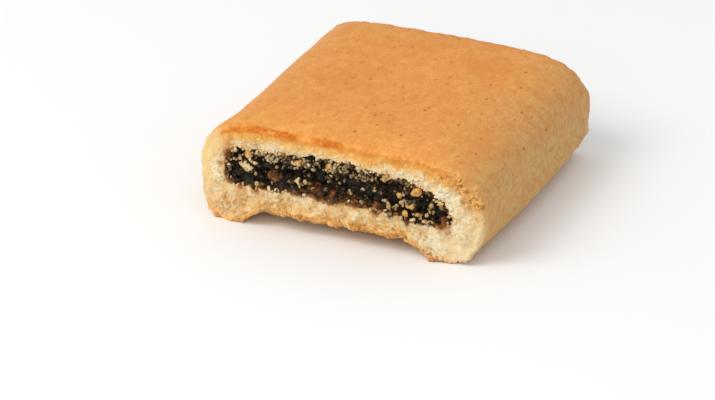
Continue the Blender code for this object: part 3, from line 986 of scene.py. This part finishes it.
def scatter_grains(bar, end):
    """The grains that the cut crumb is broken into, and the toasted ones along its rims."""
    draw = random.Random(GRAIN_DRAW[end])
    tree = surface(bar)
    names = ("inward", "to_paste", "under", "stain", "soaked", "from_cut")
    known = {name: attribute_of(bar, name) for name in names}
    corner = np.array([face.vertices[0] for face in bar.data.polygons])
    settings, values = [], {name: [] for name in names + ("shade",)}

    def add(spot, normal, face, size, sunk, shade=0.0, **marks):
        settings.append(lying(spot, normal, size, draw, sunk, UNEVEN_GRAIN))
        for name in names:
            values[name].append(marks.get(name, known[name][corner[face]]))
        values["shade"].append(shade + draw.triangular(-0.1, 0.1, 0))

    for x, z in jittered(GRAIN_SPACING, draw):
        found = on_cut(tree, x, z, end)
        if not found:
            continue
        inward, to_paste, under, _, _, from_cut = [known[name][corner[found[2]]] for name in names]
        if from_cut > 0.5 or inward < 0.25:
            continue
        bare = (1 - under) * smooth((2.4 - inward) / 1.0) * (1 if x * -end < 9 * MM else 0.6)
        if draw.random() < bare or to_paste < 0.3:
            continue
        add(*found, draw.triangular(*GRAIN_SIZE) * mix(0.6, 1, smooth(inward / 2.5)), SUNK_GRAIN)

    points = points_of(bar)
    at_end = points[:, 1] * end > AT_CUT
    low = at_end & (known["under"] > 0.5) & (known["inward"] < 1.1) & (known["from_cut"] < 0.5)
    low &= (points[:, 0] > -11 * MM) & (points[:, 0] < 15.5 * MM)
    low = np.flatnonzero(low)
    low = low[lumps(points[low], 2.2 * MM, TOASTED_GRAIN_PATTERN) > -0.05]
    near_paste = at_end & (known["to_paste"] < 0.35) & (known["inward"] < 5)
    for spots, (count, sizes, sunk, browned) in (
        (low, TOASTED_GRAINS),
        (np.flatnonzero(near_paste), PASTE_GRAINS),
    ):
        for _ in range(count):
            spot, normal, face, _ = tree.find_nearest(Vector(points[draw.choice(spots)]))
            marks = {"stain": draw.uniform(0, browned)} if browned else {"to_paste": draw.uniform(0.1, 0.9)}
            add(spot, normal, face, draw.triangular(*sizes) * MM, sunk, draw.uniform(-0.25, 0.1), **marks)
    name = "crumb_grains_front" if end == FRONT else "crumb_grains_back"
    grains = set_down(grain_shape(), name, settings, values)
    rest_on_base(grains)
    return grains


class Value:
    """A number in a node tree, which sums can be written with."""

    def __init__(self, nodes, socket):
        self.nodes = nodes
        self.socket = socket

    def __add__(self, other):
        return self.nodes.maths("ADD", self, other)

    def __mul__(self, other):
        return self.nodes.maths("MULTIPLY", self, other)

    def __sub__(self, other):
        return self.nodes.maths("SUBTRACT", self, other)

    def __rsub__(self, other):
        return self.nodes.maths("SUBTRACT", other, self)

    def __truediv__(self, other):
        return self.nodes.maths("DIVIDE", self, other)

    def __abs__(self):
        return self.nodes.maths("ABSOLUTE", self)


class Nodes:
    """A short way to write a node tree."""

    def __init__(self, name):
        self.material = bpy.data.materials.new(name)
        self.material.use_nodes = True
        self.tree = self.material.node_tree
        self.shader = self.tree.nodes["Principled BSDF"]

    def put(self, socket, value):
        if isinstance(value, Value):
            value = value.socket
        if isinstance(value, bpy.types.NodeSocket):
            self.tree.links.new(value, socket)
        elif socket.type == "RGBA":
            socket.default_value = (*value, 1)
        else:
            socket.default_value = value

    def add(self, kind, inputs=(), **settings):
        node = self.tree.nodes.new(kind)
        for key, value in settings.items():
            setattr(node, key, value)
        for key, value in dict(inputs).items():
            self.put(node.inputs[key], value)
        return node

    def place(self, stretch=(1, 1, 1)):
        where = self.add("ShaderNodeTexCoord").outputs["Object"]
        return self.add("ShaderNodeMapping", {"Vector": where, "Scale": stretch}).outputs["Vector"]

    def xyz(self):
        parts = self.add("ShaderNodeSeparateXYZ", {"Vector": self.place()}).outputs
        return [Value(self, parts[axis]) for axis in "XYZ"]

    def value_of(self, name):
        return Value(self, self.add("ShaderNodeAttribute", attribute_name=name).outputs["Fac"])

    def noise(self, size, detail=2.0, roughness=0.5, stretch=(1, 1, 1)):
        inputs = {"Vector": self.place(stretch), "Scale": 1 / size, "Detail": detail, "Roughness": roughness}
        return Value(self, self.add("ShaderNodeTexNoise", inputs).outputs["Fac"])

    def wobble(self, *noise):
        """Noise around 0."""
        return self.noise(*noise) - 0.5

    def maths(self, operation, first, second=0.0):
        node = self.add("ShaderNodeMath", {0: first, 1: second}, operation=operation)
        return Value(self, node.outputs[0])

    def between(self, value, start, stop):
        """0 up to start and 1 from stop, eased."""
        inputs = {"Value": value, "From Min": start, "From Max": stop}
        node = self.add("ShaderNodeMapRange", inputs, interpolation_type="SMOOTHSTEP")
        return Value(self, node.outputs["Result"])

    def blend(self, share, first, second, blend_type="MIX"):
        inputs = {"Factor": share, 6: first, 7: second}
        return self.add("ShaderNodeMix", inputs, data_type="RGBA", blend_type=blend_type).outputs[2]

    def patchy(self, noise, edges, first, second):
        """One colour with patches of another, where the noise rises from the first edge to the second."""
        return self.blend(self.between(self.noise(*noise), *edges), first, second)

    def ramp(self, share, stops):
        node = self.add("ShaderNodeValToRGB", {"Fac": share})
        elements = node.color_ramp.elements
        while len(elements) < len(stops):
            elements.new(0.5)
        for element, (position, colour) in zip(elements, stops):
            element.position = position
            element.color = (*colour, 1)
        return node.outputs["Color"]

    def spots(self, size, chance, radius, stretch=(1, 1, 1)):
        """Round soft spots of uneven strength in a share of the cells; radius is a share of the cell."""
        cells = self.add("ShaderNodeTexVoronoi", {"Vector": self.place(stretch), "Scale": 1 / size}).outputs
        picked = self.add("ShaderNodeSeparateColor", {"Color": cells["Color"]}).outputs
        there = self.maths("LESS_THAN", picked["Red"], chance)
        spot = self.between(cells["Distance"], radius, radius * 0.45)
        return there * spot * (Value(self, picked["Green"]) * 0.7 + 0.3)

    def finish(self, colour, relief, bump, roughness, others):
        """Fills in the shader; bump is how strong the relief is and how deep."""
        strength, depth = bump
        bumpy = self.add("ShaderNodeBump", {"Height": relief, "Strength": strength, "Distance": depth})
        inputs = {"Base Color": colour, "Normal": bumpy.outputs["Normal"], "Roughness": roughness, **others}
        for name, value in inputs.items():
            self.put(self.shader.inputs[name], value)
        return self.material


# Colours of the cut crumb: from its shaded hollows to its palest grains, and from the rim inwards
CRUMB_TONES = (
    (0.0, (0.36, 0.18, 0.058)),
    (0.22, (0.53, 0.335, 0.135)),
    (0.5, (0.66, 0.485, 0.25)),
    (0.75, (0.725, 0.61, 0.385)),
    (1.0, (0.75, 0.69, 0.51)),
)
GOLDEN_TONES = (
    (0.08, (0.61, 0.23, 0.034)),
    (0.28, (0.68, 0.32, 0.056)),
    (0.46, (0.72, 0.415, 0.105)),
    (0.72, (0.71, 0.52, 0.235)),
)
SYRUP_TONES = (
    (0.05, (0.030, 0.015, 0.008)),
    (0.4, (0.19, 0.080, 0.026)),
    (0.9, (0.48, 0.235, 0.075)),
)
LOWER_CRUMB_TINT = (0.92, 0.80, 0.66)
UPPER_CRUMB_TINT = (0.92, 0.88, 0.86)
# Painted shade: the warm darkening in the gaps between the crumb's grains
PAINTED_GAP_SHADE = (0.92, 0.72, 0.46)
CRUMB_FLECK = (0.44, 0.21, 0.055)
GOLDEN_SIDES = ((0.67, 0.50, 0.25), (0.71, 0.53, 0.24))
BROWNED_SHOULDER = ((0.50, 0.235, 0.066), (0.70, 0.39, 0.12))
BAKED_CRAGS = ((0.66, 0.31, 0.07), (0.86, 0.55, 0.215))
BURNT_TIP = (0.50, 0.18, 0.03)
FIG_STAIN = (0.50, 0.205, 0.052)

# Colours of the crust and of the rim, where the crust ends
HONEY = ((0.78, 0.365, 0.095), (0.72, 0.315, 0.076))
# Painted light: the front of the crust, brighter and more golden where the light falls strongest
PAINTED_FRONT_LIGHT = (0.93, 0.47, 0.11)
PALE_SIDE = (0.61, 0.432, 0.17)
UNDERSIDE = (0.55, 0.27, 0.085)
CRUST_GRAIN = (0.56, 0.14, 0.02)
WARM_PATCH = (0.80, 0.28, 0.08)
BLOTCH = (0.42, 0.20, 0.05)
MOTTLE = (0.54, 0.15, 0.025)
SPECK = (0.36, 0.095, 0.010)
PALE_SPOT = (0.9, 0.72, 0.42)
FAR_EDGE = (0.58, 0.21, 0.04)
LEFT_EDGE = (0.72, 0.48, 0.19)
LOW_RIM = ((0.50, 0.21, 0.045), (0.74, 0.42, 0.14))
RIGHT_FOOT_CREAM = (0.74, 0.58, 0.34)
TOASTED_CRUMBS = ((0.36, 0.135, 0.018), (0.74, 0.44, 0.14))
TOASTED = (0.62, 0.20, 0.025)
DARK_TOASTED = (0.47, 0.115, 0.010)

# Colours of the paste and of what lies on it
GRIT_TONES = (
    (0.2, (0.026, 0.015, 0.007)),
    (0.55, (0.12, 0.078, 0.036)),
    (0.95, (0.38, 0.28, 0.15)),
)
GRANULE_TONES = (
    (0.0, (0.004, 0.003, 0.002)),
    (0.3, (0.030, 0.016, 0.007)),
    (0.62, (0.17, 0.108, 0.052)),
    (0.8, (0.38, 0.265, 0.125)),
    (1.0, (0.66, 0.50, 0.26)),
)
SEED_TONES = (
    (0.0, (0.42, 0.31, 0.145)),
    (0.4, (0.44, 0.29, 0.10)),
    (0.75, (0.64, 0.33, 0.07)),
    (1.0, (0.62, 0.26, 0.04)),
)
PASTE = ((0.003, 0.0024, 0.002), (0.018, 0.010, 0.005))
PASTE_FIBRE = (0.060, 0.033, 0.014)
SMEARED_PASTE = ((0.003, 0.0034, 0.003), (0.026, 0.020, 0.013))
SOAKED_EDGE = (0.135, 0.066, 0.026)
PULP = ((0.10, 0.034, 0.012), (0.31, 0.12, 0.035))
WARM_TINT = (0.98, 0.88, 0.70)
GRIME = (0.12, 0.055, 0.02)

# Grain of the crust is drawn out along the bar by these
LONG = (1, 0.5, 1)
LONGISH = (1, 0.6, 1)


def crumb_colour(n):
    """Cream crumb, golden next to the crust, toasted underneath and stained by the figs."""
    x, _, height = n.xyz()
    shade, inward, to_paste, under, stain, soaked = [
        n.value_of(name) for name in ("shade", "inward", "to_paste", "under", "stain", "soaked")
    ]
    ragged = n.wobble(0.8 * MM, 3, 0.7) * 2.0

    # The crumb itself, darker to the left and low down
    lower = n.between(height, 7 * MM, 3 * MM) * n.between(x, 12 * MM, 6 * MM)
    darker = n.between(x, -4 * MM, -14 * MM) * 0.03 + lower * 0.1
    tone = n.wobble(1.4 * MM, 3, 0.6) * 1.2 + n.wobble(0.35 * MM, 2) * 0.6 + shade + (0.65 - darker)
    tone = tone + n.between(x, 9 * MM, 14 * MM) * 0.12
    colour = n.blend(lower * 0.7, n.ramp(tone, CRUMB_TONES), LOWER_CRUMB_TINT, "MULTIPLY")
    colour = n.blend(n.spots(1.1 * MM, 0.3, 0.26) * 0.6, colour, CRUMB_FLECK)

    # The golden border next to the crust, with a browned shoulder
    shoulder = n.between(x, 13 * MM, 17 * MM) * n.between(height, 6.5 * MM, 8.5 * MM)
    wider = n.between(x, -1 * MM, 10 * MM) * 0.12 + shoulder * 0.6
    reach = inward + ragged * 0.6 + shade * 2.0 - wider
    at_side = n.between(abs(x), 15.5 * MM, 17.5 * MM)
    sides = n.blend(n.between(x, 2 * MM, -2 * MM), *GOLDEN_SIDES)
    golden = n.blend(at_side, n.ramp(reach / 2.6, GOLDEN_TONES), sides)
    golden = n.blend(shoulder, golden, n.patchy((0.7 * MM, 3, 0.6), (0.42, 0.6), *BROWNED_SHOULDER))
    near = n.between(reach, 2.2, 1.2) * n.between(height, 3 * MM, 6 * MM)
    colour = n.blend(near * 0.92, colour, golden)
    upper = n.between(height, 8.5 * MM, 10.5 * MM) * n.between(x, 15 * MM, 9 * MM)
    colour = n.blend(upper * 0.6, colour, UPPER_CRUMB_TINT, "MULTIPLY")

    # The crags of the lower rim, burnt at their tips
    low = n.between(reach, 1.5, 0.4) * under * n.between(x, 17 * MM, 12 * MM)
    colour = n.blend(low * 0.8, colour, n.patchy((0.9 * MM, 3, 0.65), (0.4, 0.6), *BAKED_CRAGS))
    burnt = n.between(reach, 0.8, 0.1) * under * n.between(n.noise(0.7 * MM, 3), 0.46, 0.6)
    colour = n.blend(burnt * 0.8, colour, BURNT_TIP)

    # What the figs leave: stains, and syrup next to the paste
    colour = n.blend(stain * n.between(ragged, -1.0, 0.2) * 0.85, colour, FIG_STAIN)
    wet = (to_paste + ragged * 0.35) / (n.maths("MAXIMUM", stain, soaked) * 0.9 + 0.25)
    return n.blend(n.between(wet, 1.0, 0.35), colour, n.ramp(wet, SYRUP_TONES))


def pastry_material():
    n = Nodes("baked pastry")
    x, length, height = n.xyz()
    inward, from_cut, toasted, under = [n.value_of(name) for name in ("inward", "from_cut", "toast", "under")]

    # The crust: honey on top, with painted light making its front part brighter and more golden, paler down
    # the sides, browned underneath
    broad = n.noise(9 * MM, 2)
    crust = n.blend(n.between(broad, 0.35, 0.7), *HONEY)
    # Painted light: the crust grows brighter and more golden towards the front cut
    crust = n.blend(n.between(length, -4 * MM, -19 * MM) * 0.38, crust, PAINTED_FRONT_LIGHT)
    side = height + (broad - 0.5) * (4 * MM) - n.between(abs(x), 7 * MM, 18 * MM) * (2.5 * MM)
    crust = n.blend(n.between(side, 14 * MM, 5 * MM), crust, PALE_SIDE)
    crust = n.blend(n.between(height, 0.9 * MM, 0.1 * MM) * 0.7, crust, UNDERSIDE)

    # Its grain, mottling and specks
    grain = n.noise(0.3 * MM, 3, 0.65, LONG)
    patches = n.noise(1.3 * MM, 3, 0.6, (1, 0.7, 1))
    crust = n.blend(n.between(grain, 0.68, 0.32) * 0.36, crust, CRUST_GRAIN)
    crust = n.blend(n.between(patches, 0.68, 0.32) * 0.28, crust, CRUST_GRAIN)
    warm = n.between(n.noise(3 * MM, 3, 0.6, LONGISH), 0.45, 0.68) * n.between(side, 3 * MM, 12 * MM)
    crust = n.blend(warm * 0.24, crust, WARM_PATCH)
    blotches = n.noise(1.0 * MM, 3, 0.55) * n.between(side, 12.5 * MM, 8 * MM)
    crust = n.blend(n.between(blotches, 0.46, 0.62) * 0.27, crust, BLOTCH)
    crust = n.blend(n.spots(1.0 * MM, 0.35, 0.4, LONGISH) * 0.4, crust, MOTTLE)
    small = n.spots(1.4 * MM, 0.6, 0.2, (1, 0.65, 1)) * n.between(x, -22 * MM, 6 * MM)
    specks = n.maths("MAXIMUM", small * 0.85, n.spots(2.7 * MM, 0.6, 0.115, (1, 0.65, 1)) * 0.65)
    crust = n.blend(specks, crust, SPECK)
    far_edge = n.between(from_cut, 1.6, 0.3) * n.between(length, 12 * MM, 18 * MM)
    crust = n.blend(far_edge * 0.5, crust, FAR_EDGE)
    crust = n.blend(n.spots(5.5 * MM, 0.2, 0.045), crust, PALE_SPOT)
    left_edge = n.between(x, -16.5 * MM, -18.8 * MM) * n.between(from_cut, 5.0, 0.5)
    crust = n.blend(left_edge * 0.85, crust, LEFT_EDGE)

    # Where the crust ends: a torn edge with toasted streaks, and crumb beyond it, with painted shade in the
    # gaps between its grains
    wander = n.wobble(0.5 * MM, 3, 0.7)
    # Painted shade: the crumb is darkened and warmed in the gaps between its grains
    crumb = n.blend(n.value_of("painted_shade_in_gaps") * 0.48, crumb_colour(n), PAINTED_GAP_SHADE, "MULTIPLY")
    colour = n.blend(n.between(inward + wander, 0.12, 0.3), crust, crumb)
    low = n.between(from_cut + wander * 1.6, 1.1, 0.3) * n.between(inward, 0.6, 0.2)
    low = low * n.between(x, 17 * MM, 13 * MM) * under
    colour = n.blend(low * 0.8, colour, n.patchy((0.8 * MM, 3, 0.65), (0.4, 0.6), *LOW_RIM))
    right_foot = n.between(x, 14 * MM, 17 * MM) * n.between(height, 7 * MM, 4 * MM)
    right_foot = right_foot * n.between(from_cut, 2.0, 0.4)
    colour = n.blend(right_foot * 0.6, colour, RIGHT_FOOT_CREAM)
    browned = n.between(n.value_of("browned"), 0.05, 0.45)
    colour = n.blend(browned * 0.85, colour, n.patchy((0.5 * MM, 3, 0.65), (0.42, 0.58), *TOASTED_CRUMBS))
    baked = toasted + (wander + n.wobble(0.7 * MM, 4, 0.7)) * 1.7
    colour = n.blend(n.between(baked, 0.0, 0.9) * 0.9, colour, TOASTED)
    colour = n.blend(n.between(baked, 0.75, 1.45) * 0.9, colour, DARK_TOASTED)

    relief = grain * 0.5 + specks * -0.12 + patches
    others = {
        "Specular IOR Level": 0.16,
        "Specular Tint": (1.0, 0.85, 0.65),
        "Subsurface Weight": 0.2,
        "Subsurface Radius": (1.0, 0.6, 0.3),
        "Subsurface Scale": 0.5 * MM,
    }
    return n.finish(colour, relief, (0.4, 0.07 * MM), n.between(inward + grain, -1.1, 1.6), others)


def grain_material():
    n = Nodes("crumb grains")
    others = {
        "Specular IOR Level": 0.15,
        "Subsurface Weight": 0.12,
        "Subsurface Radius": (1.0, 0.7, 0.5),
        "Subsurface Scale": 0.2 * MM,
    }
    relief = n.noise(0.12 * MM, 2)
    return n.finish(crumb_colour(n), relief, (0.5, 0.04 * MM), n.noise(0.5 * MM) * 0.3 + 0.6, others)


def paste_material():
    n = Nodes("fig paste")
    dark = n.patchy((1.6 * MM, 2), (0.4, 0.62), *PASTE)
    dark = n.patchy((0.55 * MM, 3, 0.6), (0.56, 0.74), dark, PASTE_FIBRE)
    smeared = n.value_of("smeared")
    strokes = n.noise(0.45 * MM, 3, 0.65, (0.3, 1, 1))
    dark = n.blend(smeared * 0.85, dark, n.blend(n.between(strokes, 0.46, 0.66), *SMEARED_PASTE))
    grit = n.value_of("grit") + n.wobble(0.25 * MM, 2) * 0.3
    dark = n.blend(n.between(grit, 0.12, 0.35), dark, n.ramp(grit, GRIT_TONES))
    soaked = n.value_of("low_edge") * n.between(n.noise(0.7 * MM, 3, 0.6), 0.3, 0.6)
    dark = n.blend(soaked * 0.9, dark, SOAKED_EDGE)
    flesh = n.between(n.value_of("flesh") + n.wobble(0.7 * MM, 3), 0.2, 1.1)
    colour = n.blend(flesh, dark, n.patchy((0.8 * MM, 2), (0.4, 0.62), *PULP))
    relief = n.noise(0.2 * MM, 3, 0.6) + strokes * smeared * 3.0
    others = {"Specular IOR Level": smeared * 0.07 + 0.05}
    return n.finish(colour, relief, (0.5, 0.08 * MM), n.noise(0.6 * MM) * 0.4 + 0.1, others)


def granule_material():
    n = Nodes("fig granules")
    x = n.xyz()[0]
    shade = n.value_of("shade") + n.between(x, -6 * MM, -10 * MM) * 0.14
    colour = n.ramp(shade + n.wobble(0.3 * MM, 2) * 0.5, GRANULE_TONES)
    colour = n.blend(n.between(x, 3 * MM, 9 * MM), colour, WARM_TINT, "MULTIPLY")
    others = {"Specular IOR Level": 0.1, "Specular Tint": (1.0, 0.84, 0.68)}
    return n.finish(colour, n.noise(0.12 * MM, 2), (0.4, 0.03 * MM), n.noise(0.4 * MM) * 0.4 + 0.2, others)


def seed_material():
    n = Nodes("fig seeds")
    grime = n.between(n.noise(0.45 * MM, 3, 0.6), 0.46, 0.66) * 0.75
    colour = n.blend(grime, n.ramp(n.value_of("shade"), SEED_TONES), GRIME)
    others = {"Subsurface Weight": 0.2, "Subsurface Scale": 0.3 * MM}
    return n.finish(colour, n.noise(0.12 * MM, 2), (0.4, 0.03 * MM), n.noise(0.3 * MM) * 0.3 + 0.25, others)


def dress(piece, look, slot, *nodes):
    piece.data.materials.clear()
    piece.data.materials.append(look)
    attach(piece, "root")
    if nodes:
        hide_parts(*nodes)


# The camera, fitted to the roll's outline in the photograph
AZIMUTH = math.radians(21.7)
ELEVATION = math.radians(22.8)
ROLL = math.radians(1.8)
DISTANCE = 600 * MM
AIM = Vector((0, 0, 7 * MM))
PHOTO_WIDTH = 715
PIXELS_PER_MM = 7.71
OFF_CENTRE = (44, 66)
SENSOR = 36


def add_camera():
    focal_pixels = PIXELS_PER_MM * DISTANCE / MM
    level = math.cos(ELEVATION)
    away = Vector((math.sin(AZIMUTH) * level, -math.cos(AZIMUTH) * level, math.sin(ELEVATION)))
    bpy.ops.object.camera_add(location=AIM + away * DISTANCE)
    camera = bpy.context.object
    turn = away.to_track_quat("Z", "Y") @ Quaternion((0, 0, 1), ROLL)
    turn = turn @ Quaternion((0, 1, 0), math.atan(OFF_CENTRE[0] / focal_pixels))
    turn = turn @ Quaternion((1, 0, 0), -math.atan(OFF_CENTRE[1] / focal_pixels))
    camera.rotation_euler = turn.to_euler()
    camera.data.sensor_width = SENSOR
    camera.data.lens = SENSOR * focal_pixels / PHOTO_WIDTH
    camera.data.clip_start = 10 * MM
    bpy.context.scene.camera = camera


FLOOR_SIZE = 6
FLOOR_TONES = ((0.90, 0.90, 0.90), (0.92, 0.92, 0.91))
SKY_STRENGTH = 0.72
LIGHTS = (
    ("key", (-0.35, -0.45, 0.55), 0.45, 3.2),
    ("fill", (0.1, -0.7, 0.25), 0.5, 1.0),
)


def add_floor():
    deselect()
    bpy.ops.mesh.primitive_plane_add(size=FLOOR_SIZE)
    floor = bpy.context.object
    floor.name = "floor"
    n = Nodes("pale floor")
    n.put(n.shader.inputs["Base Color"], n.blend(n.noise(0.3, 2), *FLOOR_TONES))
    n.shader.inputs["Roughness"].default_value = 0.7
    floor.data.materials.append(n.material)


def add_light(name, location, size, power):
    bpy.ops.object.light_add(type="AREA", location=location)
    light = bpy.context.object
    light.name = name
    light.rotation_euler = (Vector(location) - AIM).to_track_quat("Z", "Y").to_euler()
    light.data.size = size
    light.data.energy = power


def add_lights():
    world = bpy.data.worlds.new("studio")
    world.use_nodes = True
    sky = world.node_tree.nodes["Background"].inputs
    sky["Color"].default_value = (1, 1, 1, 1)
    sky["Strength"].default_value = SKY_STRENGTH
    bpy.context.scene.world = world
    for light in LIGHTS:
        add_light(*light)
    bpy.context.scene.view_settings.view_transform = "Standard"


add_camera()
add_lights()
add_floor()
bar = make_pastry()
paste = make_paste()
seeds = scatter_seeds(paste)
granules = scatter_granules(paste)
crumbs = scatter_crumbs(paste)
grains_in_front = scatter_grains(bar, FRONT)
grains_behind = scatter_grains(bar, BACK)

grain_look, granule_look = grain_material(), granule_material()
dress(bar, pastry_material(), "baked_pastry", "pastry")
dress(paste, paste_material(), "fig_paste", "fig_paste")
dress(seeds, seed_material(), "fig_paste")
dress(granules, granule_look, "fig_paste")
dress(crumbs, granule_look, "baked_pastry")
for piece in (grains_in_front, grains_behind):
    dress(piece, grain_look, "baked_pastry")
